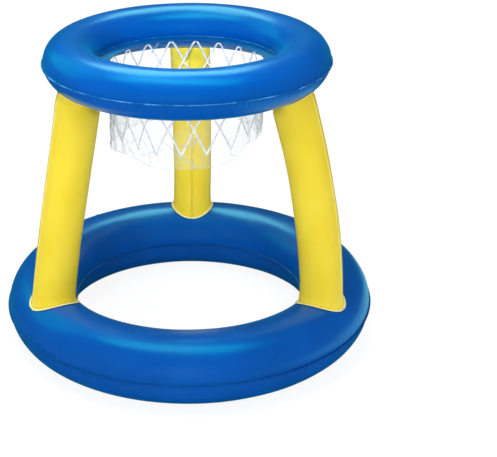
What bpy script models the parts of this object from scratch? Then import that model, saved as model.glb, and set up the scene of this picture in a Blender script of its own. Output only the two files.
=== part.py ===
# Floating basketball hoop: an inflated base ring, three inflated legs, an inflated hoop ring
# and a clear film skirt with a printed net. Every chamber is welded from thin PVC sheet.
# Units are metres, +Z is up, and the origin is the middle of the base ring's underside.

import math
from collections import namedtuple

import bmesh
import bpy
from mathutils import Matrix, Vector

# Sheet and welds
SHEET = 0.00025             # thickness of the PVC sheet of every chamber
GAP = 0.0003                # space between two pieces that are welded or rest on each other
SEAM_FIN = 0.0025           # how far the edge weld of a ring stands out
LEG_FIN = 0.002             # how far the long weld of a leg stands out
FOOT_LIP = 0.005            # width of the weld lip round a leg's lower end
HEAD_LIP = 0.0025           # width of the lip round its upper end
LEG_SEAT = 0.0006           # space between those lips and the round tube that they follow

# Base ring
BASE_RADIUS = 0.249         # middle of the object to the middle of the tube
BASE_HALF_WIDTH = 0.0561
BASE_HALF_HEIGHT = 0.0569
BASE_FLAT = 0.0005          # depth by which the underside is flattened where it stands

# Hoop ring
HOOP_RADIUS = 0.187
HOOP_HALF_WIDTH = 0.0399
HOOP_HALF_HEIGHT = 0.0373
HOOP_LEVEL = 0.473          # floor to the middle of the tube
OUTER_SEAM_DROP = 0.0025    # the outer seam sits this far below the tube's middle
INNER_SEAM_DROP = 0.009     # the inner seam, where the skirt hangs, sits lower

# Legs
LEG_RADIUS = 0.034
LEG_BOW = 0.0066            # the middle of a leg stands out by this much
LEG_AZIMUTHS = {"back_leg": 90.0, "left_leg": 210.0, "right_leg": 330.0}
HEAD_SPAN = 30.0            # degrees of the hoop tube that a leg's top wraps to each side
HEAD_TILT = 15.0            # degrees by which that saddle is turned outwards
FOOT_BLEND = 0.045          # length over which the round leg becomes the saddle on the base
HEAD_BLEND = 0.024          # and the saddle under the hoop
PORT_RADIUS = 0.008         # air hole from the hoop ring into each leg

# Skirt and its printed net
NET_TOP_RADIUS = 0.1235
NET_HEM_RADIUS = 0.119
NET_BAND = 0.011            # width of the skirt's top edge that is welded under the flange
NET_LENGTH = 0.134          # flange to the lowest part of the hem
HEM_LIFT = 0.036            # the hem is drawn up by this much where it is gathered most
FOLD_DEPTH = 0.007          # height of the largest fold
PRINT_REPEATS = 19
PRINT_PHASE = 11.0          # direction of one of the loops at the top, in degrees
PRINT_LINE = 0.003          # width of a printed line
PRINT_THICKNESS = 0.00015
PRINT_TOP_INSET = 0.003     # top of the skirt to the middle of the first row of the print
PRINT_LIFT = 0.00045        # print's inner face above the middle of the film

# Valves, one on each chamber
STEM_RADIUS = 0.0056
STEM_BORE = 0.0037
STEM_SEAT_BORE = 0.0026     # narrow hole at the inner end, which the check flap closes
STEM_DEPTH = 0.011          # how far the pushed-in stem reaches into the chamber
STEM_SEAT = 0.002           # thickness of the stem's inner end
STEM_RIM_RADIUS = 0.008
STEM_RIM = 0.0012           # thickness of the rim that rests on the valve's flange
STEM_TAB = 0.001            # thickness of the tongue that the stopper's strap turns on
STEM_TAB_REACH = 0.0012     # how far the tongue stands out past the strap's hinge
SLEEVE_WALL = 0.0008
SLEEVE_DEPTH = 0.007
FLANGE_RADIUS = 0.0125
FLANGE_THICKNESS = 0.0006
CAP_RADIUS = 0.0062
CAP_THICKNESS = 0.0012
PLUG_LENGTH = 0.0043
PLUG_TOP_CLEARANCE = 0.0004
PLUG_TAPER = 0.0008         # the plug's tip is thinner than its root by this much
STRAP_WIDTH = 0.004
STRAP_THICKNESS = 0.0008
STRAP_BARREL = 0.0006       # radius of the round end that the strap turns on
STRAP_HINGE = 0.009         # stem's middle to the strap's hinge
FLAP_RADIUS = 0.0042
FLAP_THICKNESS = 0.0005
FLAP_HINGE = 0.005          # stem's middle to the flap's hinge
OVERRUN = 0.004             # how far a cutter passes through what it cuts

MERGE = 0.00001             # points nearer than this are one point

# Counts of faces
RING_STEPS = 48
BASE_SECTION_STEPS = 10     # per panel, half of the tube's section
HOOP_SECTION_STEPS = 8
LEG_ARC_STEPS = 10
PORT_STEPS = 12
VALVE_STEPS = 16

# Heights along a leg's wall where it has a row of points, as shares of its length
LEG_ROW_SHARES = (0.0, 0.03, 0.10, 0.24, 0.42, 0.60, 0.78, 0.90, 0.94, 0.97, 1.0)

# Rows of the printed net, as shares of the distance from the top of the skirt to the hem
PRINT_ROW_SHARES = (0.0, 0.256, 0.517, 0.827)

# Round top of a printed loop, as shares of a crossing's half width and half height
LOOP_TOP_SHARES = ((0.7, 0.35), (0.0, 0.5), (-0.7, 0.35))

# Folds of the skirt: direction in degrees, half width in degrees, height as a share
FOLD_SHARES = (
    (-165.0, 15.0, 1.10),
    (-135.0, 9.0, -0.35),
    (-113.0, 10.0, 0.45),
    (-82.0, 11.0, -0.30),
    (-52.0, 9.0, 0.50),
    (-33.0, 8.0, -0.60),
    (-12.0, 10.0, 0.45),
    (35.0, 14.0, 0.50),
    (80.0, 12.0, -0.30),
    (125.0, 15.0, 0.55),
    (163.0, 10.0, -0.30),
)

# Places where the hem is drawn up, in the same way
HEM_SHARES = (
    (-27.0, 24.0, 1.0),
    (-130.0, 9.0, 0.20),
    (60.0, 30.0, 0.25),
)

# Valve places: direction in degrees, and degrees above the tube's middle
BASE_VALVE_AZIMUTH = 127.5
BASE_VALVE_RISE = 36.0
HOOP_VALVE_AZIMUTH = 127.5
HOOP_VALVE_RISE = 22.5

Ring = namedtuple("Ring", "radius half_width half_height level")
BASE = Ring(BASE_RADIUS, BASE_HALF_WIDTH, BASE_HALF_HEIGHT, BASE_HALF_HEIGHT - BASE_FLAT)
HOOP = Ring(HOOP_RADIUS, HOOP_HALF_WIDTH, HOOP_HALF_HEIGHT, HOOP_LEVEL)
FLANGE_LEVEL = HOOP.level - INNER_SEAM_DROP
SKIRT_TOP = FLANGE_LEVEL - GAP / 2 - SHEET - GAP


# Scene, materials and objects

def clear_scene():
    for item in list(bpy.data.objects):
        bpy.data.objects.remove(item, do_unlink=True)


def make_material(name, colour, roughness, alpha=1.0, metallic=0.0):
    material = bpy.data.materials.new(name)
    material.use_nodes = True
    shader = material.node_tree.nodes["Principled BSDF"]
    shader.inputs["Base Color"].default_value = (*colour, 1.0)
    shader.inputs["Roughness"].default_value = roughness
    shader.inputs["Metallic"].default_value = metallic
    shader.inputs["Alpha"].default_value = alpha
    return material


def finish(name, bm, material, closed=True):
    """Turn a bmesh into a named, smooth-shaded object. An open sheet keeps its own normals."""
    if closed:
        bmesh.ops.recalc_face_normals(bm, faces=bm.faces)
    mesh = bpy.data.meshes.new(name)
    bm.to_mesh(mesh)
    bm.free()
    mesh.materials.append(material)
    mesh.shade_smooth()
    mesh.set_sharp_from_angle(angle=math.radians(35.0))
    obj = bpy.data.objects.new(name, mesh)
    bpy.context.collection.objects.link(obj)
    return obj


def make_tool(name, bm):
    """A cutter or an added shape for a Boolean, which is not a piece itself."""
    bmesh.ops.recalc_face_normals(bm, faces=bm.faces)
    mesh = bpy.data.meshes.new(name)
    bm.to_mesh(mesh)
    bm.free()
    obj = bpy.data.objects.new(name, mesh)
    bpy.context.collection.objects.link(obj)
    obj.hide_render = True
    obj.display_type = "WIRE"
    return obj


def add_boolean(obj, tool, operation):
    boolean = obj.modifiers.new(tool.name, "BOOLEAN")
    boolean.operation = operation
    boolean.solver = "EXACT"
    boolean.object = tool


def place(obj, parent, location=(0.0, 0.0, 0.0)):
    obj.parent = parent
    obj.location = location


# Closed bodies from rows of points

def spin_profile(profile, steps):
    """Turn a closed outline of (radius, height) points once round Z."""
    bm = bmesh.new()
    verts = [bm.verts.new((radius, 0.0, height)) for radius, height in profile]
    edges = [bm.edges.new((verts[i - 1], verts[i])) for i in range(len(verts))]
    bmesh.ops.spin(bm, geom=verts + edges, cent=(0.0, 0.0, 0.0), axis=(0.0, 0.0, 1.0),
                   dvec=(0.0, 0.0, 0.0), angle=math.tau, steps=steps, use_merge=True)
    return bm


def add_cell(bm, corners, diagonal):
    """One cell of a grid: a quad, or two triangles that meet on a chosen diagonal."""
    a, b, c, d = corners
    if diagonal is None:
        bm.faces.new(corners)
    elif diagonal:
        bm.faces.new((a, b, c))
        bm.faces.new((a, c, d))
    else:
        bm.faces.new((a, b, d))
        bm.faces.new((b, c, d))


def sheet_body(outer_rows, inner_rows, wrap=False, keep=None, diagonal=None):
    """A sheet with two skins, closed along its free edges.

    wrap joins the last column to the first, keep says which cells exist, and diagonal
    says which way a cell is split."""
    row_count = len(outer_rows)
    column_count = len(outer_rows[0])
    last = column_count if wrap else column_count - 1
    cells = [(i, j) for i in range(row_count - 1) for j in range(last)
             if keep is None or keep(i, j)]
    sides = {}
    for i, j in cells:
        k = (j + 1) % column_count
        ring = ((i, j), (i, k), (i + 1, k), (i + 1, j))
        for n in range(4):
            edge = (ring[n], ring[(n + 1) % 4])
            if edge[::-1] in sides:
                del sides[edge[::-1]]
            else:
                sides[edge] = True
    bm = bmesh.new()
    skins = []
    for rows in (outer_rows, inner_rows):
        used = {}
        for i, j in cells:
            k = (j + 1) % column_count
            for key in ((i, j), (i, k), (i + 1, k), (i + 1, j)):
                if key not in used:
                    used[key] = bm.verts.new(rows[key[0]][key[1]])
            corners = (used[i, j], used[i, k], used[i + 1, k], used[i + 1, j])
            add_cell(bm, corners, None if diagonal is None else diagonal(i, j))
        skins.append(used)
    outer, inner = skins
    for start, stop in sides:
        bm.faces.new((outer[start], outer[stop], inner[stop], inner[start]))
    return bm


# Tubes of the rings

def section_point(ring, rise, inset=0.0):
    """Radius and height on a ring's section. Rise 0 faces out and 90 degrees is the top."""
    return (ring.radius + (ring.half_width - inset) * math.cos(rise),
            ring.level + (ring.half_height - inset) * math.sin(rise))


def rise_at(ring, level, inset=0.0):
    return math.asin((level - ring.level) / (ring.half_height - inset))


def arc(start, stop, steps):
    return [start + (stop - start) * i / steps for i in range(steps + 1)]


def panel_profile(ring, side, outer_seam, inner_seam, inner_tip, steps, flat=0.0):
    """Outline of one welded panel of a ring. side is 1 for the upper, -1 for the lower."""
    near_outer = outer_seam + side * GAP / 2
    near_inner = inner_seam + side * GAP / 2
    skins = []
    for inset, lift in ((0.0, SHEET), (SHEET, 0.0)):
        start = rise_at(ring, near_outer + side * lift, inset)
        stop = side * math.pi - rise_at(ring, near_inner + side * lift, inset)
        if flat:
            half_band = math.acos((ring.half_height - flat) / ring.half_height)
            middle = side * math.pi / 2
            rises = arc(start, middle - side * half_band, steps // 2)
            rises += arc(middle + side * half_band, stop, steps // 2)
            floor = ring.level - ring.half_height + flat + inset
            points = [section_point(ring, rise, inset) for rise in rises]
            skins.append([(radius, max(level, floor)) for radius, level in points])
        else:
            skins.append([section_point(ring, rise, inset) for rise in arc(start, stop, steps)])
    outer, inner = skins
    outer_tip = ring.radius + ring.half_width + SEAM_FIN
    return ([(outer_tip, near_outer + side * SHEET)] + outer
            + [(inner_tip, near_inner + side * SHEET), (inner_tip, near_inner)]
            + inner[::-1] + [(outer_tip, near_outer)])


def skin_frame(ring, azimuth, rise):
    """Place on a ring's skin, with Z along the outward normal and X up the section."""
    slope = Vector((math.cos(rise) / ring.half_width, math.sin(rise) / ring.half_height))
    slope.normalize()
    radius, level = section_point(ring, rise)
    out = Vector((math.cos(azimuth), math.sin(azimuth), 0.0))
    up = Vector((0.0, 0.0, 1.0))
    normal = out * slope.x + up * slope.y
    across = out.cross(up)
    along = across.cross(normal)
    axes = Matrix((along, across, normal)).transposed()
    return Matrix.Translation(out * radius + up * level) @ axes.to_4x4()


def skin_drop(ring, frame, x, y):
    """Height of the ring's skin above the plane of a skin frame, at a place in that plane."""
    height = 0.0
    for _ in range(6):
        point = frame @ Vector((x, y, height))
        across = (math.hypot(point.x, point.y) - ring.radius) / ring.half_width
        upward = (point.z - ring.level) / ring.half_height
        height -= (math.hypot(across, upward) - 1) * ring.half_width
    return height


# Legs

def leg_axis(level):
    """Reach of a leg's middle line from the Z axis at a level, and its lean from upright."""
    foot = BASE.level + BASE.half_height
    head = HOOP.level - HOOP.half_height
    share = (level - foot) / (head - foot)
    inward = HOOP.radius - BASE.radius
    reach = BASE.radius + inward * share + 4 * LEG_BOW * share * (1 - share)
    slope = (inward + 4 * LEG_BOW * (1 - 2 * share)) / (head - foot)
    return reach, math.atan(-slope)


def leg_end(at_head, turn, radius, lift):
    """Point of a leg's saddle, a lift above the ring's skin, in the leg's own plane."""
    extra = (radius - LEG_RADIUS) * math.cos(turn)
    ring = HOOP if at_head else BASE
    if at_head:
        spread = math.asin(math.sin(math.radians(HEAD_SPAN)) * math.cos(turn))
        rise = math.radians(HEAD_TILT) + spread + extra / ring.half_width - math.pi / 2
    else:
        spread = math.asin(LEG_RADIUS / ring.half_width * math.cos(turn))
        rise = math.pi / 2 - spread - extra / ring.half_width
    reach, level = section_point(ring, rise, -lift)
    swing = radius * math.sin(turn) / reach
    return Vector((reach * math.cos(swing), reach * math.sin(swing), level))


def round_wall(turn, radius, level):
    """Point of the plain round tube at a turn round it, for a level of its middle line."""
    reach, lean = leg_axis(level)
    out = radius * math.cos(turn)
    return Vector((reach + out * math.cos(lean), radius * math.sin(turn),
                   level + out * math.sin(lean)))


def axis_level(turn, radius, height):
    """Level of the middle line whose wall point lies at a height."""
    level = height
    for _ in range(4):
        level = height - radius * math.cos(turn) * math.sin(leg_axis(level)[1])
    return level


def ease(value):
    value = min(max(value, 0.0), 1.0)
    return value * value * (3 - 2 * value)


def leg_line(turn, radius, lift):
    """One line of a leg from lip to lip, where the round tube turns into its two saddles."""
    foot = leg_end(False, turn, radius, lift)
    head = leg_end(True, turn, radius, lift)
    low = axis_level(turn, radius, foot.z)
    high = axis_level(turn, radius, head.z)
    foot_shift = foot - round_wall(turn, radius, low)
    head_shift = head - round_wall(turn, radius, high)
    points = [leg_end(False, turn, LEG_RADIUS + FOOT_LIP, lift)]
    for share in LEG_ROW_SHARES:
        level = low + (high - low) * share
        shift = foot_shift * (1 - ease((level - low) / FOOT_BLEND))
        shift += head_shift * (1 - ease((high - level) / HEAD_BLEND))
        points.append(round_wall(turn, radius, level) + shift)
    points.append(leg_end(True, turn, LEG_RADIUS + HEAD_LIP, lift))
    return points


def leg_fin(root, direction):
    """Free edge of a leg's long weld, which dies away towards both ends."""
    line = []
    for i, point in enumerate(root):
        lean = leg_axis(point.z)[1]
        at_end = i < 2 or i > len(root) - 3
        width = SHEET if at_end else LEG_FIN
        line.append(point + direction * width * Vector((math.cos(lean), 0.0, math.sin(lean))))
    return line


def leg_panel(name, azimuth, side, material):
    """One of the two long panels of a leg, with its edge fins and end lips."""
    placed = Matrix.Rotation(math.radians(azimuth), 3, "Z") @ Matrix.Diagonal((1.0, side, 1.0))
    skins = []
    for radius, lift, edge in ((LEG_RADIUS, LEG_SEAT + SHEET, GAP / 2 + SHEET),
                               (LEG_RADIUS - SHEET, LEG_SEAT, GAP / 2)):
        first = math.asin(edge / radius)
        lines = [leg_line(turn, radius, lift)
                 for turn in arc(first, math.pi - first, LEG_ARC_STEPS)]
        lines = [leg_fin(lines[0], 1.0)] + lines + [leg_fin(lines[-1], -1.0)]
        skins.append([[placed @ line[i] for line in lines] for i in range(len(lines[0]))])
    last_row = len(skins[0]) - 2
    last_column = len(skins[0][0]) - 2

    def keep(i, j):
        return not (i in (0, last_row) and j in (0, last_column))

    return finish(name, sheet_body(skins[0], skins[1], keep=keep), material)


# Skirt and printed net

def swells(azimuth, shares):
    """Sum of the smooth swells of a table at a direction in degrees."""
    total = 0.0
    for middle, width, height in shares:
        turn = (azimuth - middle + 180.0) % 360.0 - 180.0
        total += height * math.exp(-(turn / width) ** 2)
    return total


def skirt_point(azimuth, share, lift):
    """Point of the skirt at a direction in degrees and a share of the way down to the hem."""
    radius = NET_TOP_RADIUS + (NET_HEM_RADIUS - NET_TOP_RADIUS) * share + lift
    radius += FOLD_DEPTH * swells(azimuth, FOLD_SHARES) * share ** 1.5
    level = SKIRT_TOP - NET_LENGTH * share + HEM_LIFT * swells(azimuth, HEM_SHARES) * share ** 2
    angle = math.radians(azimuth)
    return Vector((radius * math.cos(angle), radius * math.sin(angle), level))


def print_row_shares():
    top = PRINT_TOP_INSET / NET_LENGTH
    return [max(share, top) for share in PRINT_ROW_SHARES]


def net_film(material):
    """The clear skirt, with the flat band at its top that is welded under the flange."""
    columns = 2 * PRINT_REPEATS
    azimuths = [PRINT_PHASE + 360.0 * j / columns for j in range(columns)]
    shares = [0.0] + print_row_shares() + [1.0]
    skins = []
    for lift, level in ((SHEET / 2, SKIRT_TOP - SHEET), (-SHEET / 2, SKIRT_TOP)):
        rows = [[skirt_point(azimuth, share, lift) for azimuth in azimuths] for share in shares]
        rows[0] = [Vector((point.x, point.y, level)) for point in rows[0]]
        wide = (NET_TOP_RADIUS + NET_BAND) / NET_TOP_RADIUS
        band = [Vector((point.x * wide, point.y * wide, level)) for point in rows[0]]
        skins.append([band] + rows)

    def diagonal(i, j):
        return (i + j) % 2 == 0

    return finish("net_film", sheet_body(skins[0], skins[1], True, diagonal=diagonal), material)


def net_print(material):
    """The printed net: slanting lines between rows of crossings, one closed lattice."""
    columns = 2 * PRINT_REPEATS
    shares = print_row_shares()
    bm = bmesh.new()
    crossings = {}
    for i, share in enumerate(shares):
        near = shares[i + 1] - share if i == 0 else share - shares[i - 1]
        rise = near * NET_LENGTH
        run = math.radians(360.0 / columns) * NET_TOP_RADIUS
        slant = math.hypot(rise, run)
        half_height = PRINT_LINE / 2 * slant / run
        half_width = PRINT_LINE / 2 * slant / rise
        for j in range(i % 2, columns, 2):
            azimuth = PRINT_PHASE + 360.0 * j / columns

            def corner(right, up):
                turn = math.degrees(right / NET_TOP_RADIUS)
                return bm.verts.new(skirt_point(azimuth + turn, share - up / NET_LENGTH, PRINT_LIFT))

            right = corner(half_width, 0.0)
            left = corner(-half_width, 0.0)
            bottom = corner(0.0, -half_height)
            if i == 0:
                round_top = [corner(half_width * x, half_height * y) for x, y in LOOP_TOP_SHARES]
                crossings[i, j] = (right, round_top[0], left, bottom)
                bm.faces.new([right] + round_top + [left, bottom])
            else:
                top = corner(0.0, half_height)
                crossings[i, j] = (right, top, left, bottom)
                bm.faces.new((right, top, left, bottom))
    for (i, j), (right, top, left, bottom) in crossings.items():
        if i == 0:
            continue
        other = crossings[i - 1, (j + 1) % columns]
        bm.faces.new((right, other[3], other[2], top))
        other = crossings[i - 1, (j - 1) % columns]
        bm.faces.new((top, other[0], other[3], left))
    obj = finish("net_print", bm, material, closed=False)
    thickness = obj.modifiers.new("Ink", "SOLIDIFY")
    thickness.thickness = PRINT_THICKNESS
    thickness.offset = 1.0
    return obj


# Valves

def flange_rows(ring, frame):
    """Rows of points of a valve's flange and sleeve, in a closed loop round its section."""
    bore = STEM_RADIUS + GAP
    sleeve = bore + SLEEVE_WALL
    rows = []
    for radius, on_skin, offset in ((bore, True, GAP + FLANGE_THICKNESS),
                                    (FLANGE_RADIUS, True, GAP + FLANGE_THICKNESS),
                                    (FLANGE_RADIUS, True, GAP),
                                    (sleeve, True, GAP),
                                    (sleeve, False, -SLEEVE_DEPTH),
                                    (bore, False, -SLEEVE_DEPTH)):
        row = []
        for j in range(VALVE_STEPS):
            angle = math.tau * j / VALVE_STEPS
            x = radius * math.cos(angle)
            y = radius * math.sin(angle)
            level = skin_drop(ring, frame, x, y) if on_skin and radius > sleeve else 0.0
            row.append(Vector((x, y, level + offset)))
        rows.append(row)
    return rows


def loop_body(rows):
    """A closed body from rows that wrap both ways."""
    bm = bmesh.new()
    verts = [[bm.verts.new(point) for point in row] for row in rows]
    for i, row in enumerate(verts):
        for j in range(len(row)):
            bm.faces.new((verts[i - 1][j - 1], verts[i - 1][j], row[j], row[j - 1]))
    return bm


def box_tool(name, low, high):
    bm = bmesh.new()
    bmesh.ops.create_cube(bm, size=1.0)
    low, high = Vector(low), Vector(high)
    for vert in bm.verts:
        middle = (low + high) / 2
        vert.co = middle + Vector(a * b for a, b in zip(vert.co, high - low))
    return make_tool(name, bm)


def cylinder_tool(name, radius, low, high, steps):
    """A cylinder whose corners lie half a step off the X axis, clear of a panel's edges."""
    bm = bmesh.new()
    middle = Matrix.Translation((0.0, 0.0, (low + high) / 2))
    bmesh.ops.create_cone(bm, cap_ends=True, segments=steps, radius1=radius, radius2=radius,
                          depth=high - low,
                          matrix=middle @ Matrix.Rotation(math.pi / steps, 4, "Z"))
    return make_tool(name, bm)


def valve(prefix, ring, azimuth, rise, panel, material):
    """Flange, sliding stem, stopper on its strap and check flap, set in one panel."""
    frame = skin_frame(ring, math.radians(azimuth), math.radians(rise))
    seat = bpy.data.objects.new(prefix + "_valve_place", None)
    bpy.context.collection.objects.link(seat)
    seat.matrix_world = frame

    hole_radius = STEM_RADIUS + GAP + SLEEVE_WALL + GAP
    hole = cylinder_tool(prefix + "_valve_hole", hole_radius, -OVERRUN, OVERRUN, VALVE_STEPS)
    place(hole, seat)
    add_boolean(panel, hole, "DIFFERENCE")
    flange = finish(prefix + "_valve_flange", loop_body(flange_rows(ring, frame)), material)
    place(flange, seat)

    rim_low = GAP + FLANGE_THICKNESS + GAP
    rim_high = rim_low + STEM_RIM
    stem_outline = [
        (STEM_BORE, rim_high), (STEM_RIM_RADIUS, rim_high), (STEM_RIM_RADIUS, rim_low),
        (STEM_RADIUS, rim_low), (STEM_RADIUS, -STEM_DEPTH), (STEM_SEAT_BORE, -STEM_DEPTH),
        (STEM_SEAT_BORE, STEM_SEAT - STEM_DEPTH), (STEM_BORE, STEM_SEAT - STEM_DEPTH)]
    stem = finish(prefix + "_valve_stem", spin_profile(stem_outline, VALVE_STEPS), material)
    place(stem, seat)
    tab_low = rim_low + (STEM_RIM - STEM_TAB) / 2
    tab_high = tab_low + STEM_TAB
    tab = box_tool(prefix + "_stem_tab", ((STEM_BORE + STEM_RIM_RADIUS) / 2, -STRAP_WIDTH / 2, tab_low),
                   (STRAP_HINGE + STEM_TAB_REACH, STRAP_WIDTH / 2, tab_high))
    place(tab, stem)
    add_boolean(stem, tab, "UNION")

    hinge_level = tab_high + GAP + STRAP_BARREL
    cap_low = rim_high + GAP - hinge_level
    cap_high = cap_low + CAP_THICKNESS
    plug_top = STEM_BORE - PLUG_TOP_CLEARANCE
    bm = bmesh.new()
    outline = [(0.0, cap_high), (CAP_RADIUS, cap_high), (CAP_RADIUS, cap_low), (plug_top, cap_low),
               (plug_top - PLUG_TAPER, cap_low - PLUG_LENGTH), (0.0, cap_low - PLUG_LENGTH)]
    verts = [bm.verts.new((radius, 0.0, height)) for radius, height in outline]
    edges = [bm.edges.new(pair) for pair in zip(verts, verts[1:])]
    bmesh.ops.spin(bm, geom=verts + edges, cent=(0.0, 0.0, 0.0), axis=(0.0, 0.0, 1.0),
                   dvec=(0.0, 0.0, 0.0), angle=math.tau, steps=VALVE_STEPS, use_merge=True)
    bmesh.ops.remove_doubles(bm, verts=bm.verts, dist=MERGE)
    bmesh.ops.translate(bm, verts=bm.verts, vec=(-STRAP_HINGE, 0.0, 0.0))
    stopper = finish(prefix + "_valve_stopper", bm, material)
    place(stopper, stem, (STRAP_HINGE, 0.0, hinge_level))
    strap = box_tool(prefix + "_strap", (-STRAP_HINGE + CAP_RADIUS / 2, -STRAP_WIDTH / 2,
                                         -STRAP_THICKNESS / 2),
                     (0.0, STRAP_WIDTH / 2, STRAP_THICKNESS / 2))
    place(strap, stopper)
    add_boolean(stopper, strap, "UNION")
    barrel = cylinder_tool(prefix + "_strap_barrel", STRAP_BARREL, -STRAP_WIDTH / 2 - GAP,
                           STRAP_WIDTH / 2 + GAP, PORT_STEPS)
    place(barrel, stopper)
    barrel.rotation_euler = (math.pi / 2, 0.0, 0.0)
    add_boolean(stopper, barrel, "UNION")

    bm = bmesh.new()
    bmesh.ops.create_cone(bm, cap_ends=True, segments=VALVE_STEPS, radius1=FLAP_RADIUS,
                          radius2=FLAP_RADIUS, depth=FLAP_THICKNESS,
                          matrix=Matrix.Translation((-FLAP_HINGE, 0.0, 0.0)))
    flap = finish(prefix + "_valve_flap", bm, material)
    place(flap, stem, (FLAP_HINGE, 0.0, -STEM_DEPTH - GAP - FLAP_THICKNESS / 2))
    return stem, stopper, flap


# The whole object

def build():
    clear_scene()
    blue = make_material("blue_film", (0.0, 0.10, 0.52), 0.25)
    yellow = make_material("yellow_film", (0.90, 0.76, 0.06), 0.30)
    clear = make_material("clear_film", (0.92, 0.96, 0.98), 0.10, alpha=0.35)
    white = make_material("white_ink", (0.95, 0.95, 0.95), 0.45)
    milky = make_material("clear_vinyl", (0.80, 0.86, 0.90), 0.25)

    seam = BASE.level
    inner_tip = BASE.radius - BASE.half_width - SEAM_FIN
    base_upper = finish("base_ring_upper_panel", spin_profile(
        panel_profile(BASE, 1, seam, seam, inner_tip, BASE_SECTION_STEPS), RING_STEPS), blue)
    finish("base_ring_lower_panel", spin_profile(
        panel_profile(BASE, -1, seam, seam, inner_tip, BASE_SECTION_STEPS, BASE_FLAT),
        RING_STEPS), blue)

    seam = HOOP.level - OUTER_SEAM_DROP
    weld_tip = section_point(HOOP, math.pi - rise_at(HOOP, FLANGE_LEVEL))[0] - SEAM_FIN
    hoop_upper = finish("hoop_ring_upper_panel", spin_profile(
        panel_profile(HOOP, 1, seam, FLANGE_LEVEL, weld_tip, HOOP_SECTION_STEPS),
        RING_STEPS), blue)
    hoop_lower = finish("hoop_ring_lower_panel", spin_profile(
        panel_profile(HOOP, -1, seam, FLANGE_LEVEL, NET_TOP_RADIUS, HOOP_SECTION_STEPS),
        RING_STEPS), blue)

    for leg, azimuth in LEG_AZIMUTHS.items():
        leg_panel(leg + "_panel_a", azimuth, 1.0, yellow)
        leg_panel(leg + "_panel_b", azimuth, -1.0, yellow)
        port = cylinder_tool(leg + "_port", PORT_RADIUS, -OVERRUN, OVERRUN, PORT_STEPS)
        port.matrix_world = skin_frame(HOOP, math.radians(azimuth), -math.pi / 2)
        add_boolean(hoop_lower, port, "DIFFERENCE")

    net_film(clear)
    net_print(white)
    valve("base", BASE, BASE_VALVE_AZIMUTH, BASE_VALVE_RISE, base_upper, milky)
    valve("hoop", HOOP, HOOP_VALVE_AZIMUTH, HOOP_VALVE_RISE, hoop_upper, milky)


build()
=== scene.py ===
# Floating basketball hoop, dressed for rendering: inflated PVC rings and legs, a clear printed
# film skirt and two inflation valves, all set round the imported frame.
import math

import bmesh
import bpy
from mathutils import Matrix, Vector, noise


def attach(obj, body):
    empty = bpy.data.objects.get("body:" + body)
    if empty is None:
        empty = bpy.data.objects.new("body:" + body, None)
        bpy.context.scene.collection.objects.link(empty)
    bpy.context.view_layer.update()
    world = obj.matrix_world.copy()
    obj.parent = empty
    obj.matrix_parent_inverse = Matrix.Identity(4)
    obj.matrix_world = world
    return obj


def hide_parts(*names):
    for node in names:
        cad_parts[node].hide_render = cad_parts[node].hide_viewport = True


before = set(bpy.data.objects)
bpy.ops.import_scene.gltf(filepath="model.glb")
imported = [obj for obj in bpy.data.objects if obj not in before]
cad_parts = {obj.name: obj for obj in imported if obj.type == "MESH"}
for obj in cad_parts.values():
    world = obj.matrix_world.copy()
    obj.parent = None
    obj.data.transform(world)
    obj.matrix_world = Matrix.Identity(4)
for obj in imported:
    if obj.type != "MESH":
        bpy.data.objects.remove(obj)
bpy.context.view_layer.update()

root = "inflated_frame"  # body that every welded piece rides on


# camera, at the angle of the photograph
camera = {
    "imageWidth": 497, "imageHeight": 457,
    "distance": 1.926, "height": 1.054,      # metres before the object's middle, and above the floor
    "pitch": 0.4277, "roll": -0.0108,        # radians
    "turn": 1.7,                             # degrees round the object
    "focalPixels": 1264.42,                  # focal length, in pixels of the image width
    "axisPixel": (188.7, 228.3),             # where the optical axis meets the picture
    "sensor": 36.0,                          # millimetres
}


def makeCamera(spec):
    data = bpy.data.cameras.new("studioCamera")
    data.sensor_fit = "HORIZONTAL"
    data.sensor_width = spec["sensor"]
    data.lens = spec["focalPixels"] * spec["sensor"] / spec["imageWidth"]
    data.shift_x = (spec["imageWidth"] / 2 - spec["axisPixel"][0]) / spec["imageWidth"]
    data.shift_y = (spec["axisPixel"][1] - spec["imageHeight"] / 2) / spec["imageWidth"]
    forward = Vector((0.0, math.cos(spec["pitch"]), -math.sin(spec["pitch"])))
    level = Vector((1.0, 0.0, 0.0))
    up = level.cross(forward)
    right = level * math.cos(spec["roll"]) + up * math.sin(spec["roll"])
    above = up * math.cos(spec["roll"]) - level * math.sin(spec["roll"])
    matrix = Matrix((right, above, -forward)).transposed().to_4x4()
    matrix.translation = (0.0, -spec["distance"], spec["height"])
    obj = bpy.data.objects.new("studioCamera", data)
    bpy.context.collection.objects.link(obj)
    obj.matrix_world = Matrix.Rotation(math.radians(spec["turn"]), 4, "Z") @ matrix
    bpy.context.scene.camera = obj


makeCamera(camera)
print("camera set")


# materials
def toLinear(hexText):
    parts = [int(hexText[i:i + 2], 16) / 255 for i in (1, 3, 5)]
    return [p / 12.92 if p <= 0.04045 else ((p + 0.055) / 1.055) ** 2.4 for p in parts] + [1.0]


def addNode(tree, kind, settings=None, links=None):
    node = tree.nodes.new(kind)
    for key, value in (settings or {}).items():
        if isinstance(key, str) and hasattr(node, key):
            setattr(node, key, value)
        else:
            node.inputs[key].default_value = value
    for key, source in (links or {}).items():
        tree.links.new(source, node.inputs[key])
    return node


def startMaterial(name):
    material = bpy.data.materials.new(name)
    material.use_nodes = True
    tree = material.node_tree
    return material, tree, tree.nodes["Principled BSDF"]


def setShader(shader, settings):
    for key, value in settings.items():
        shader.inputs[key].default_value = value


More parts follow.
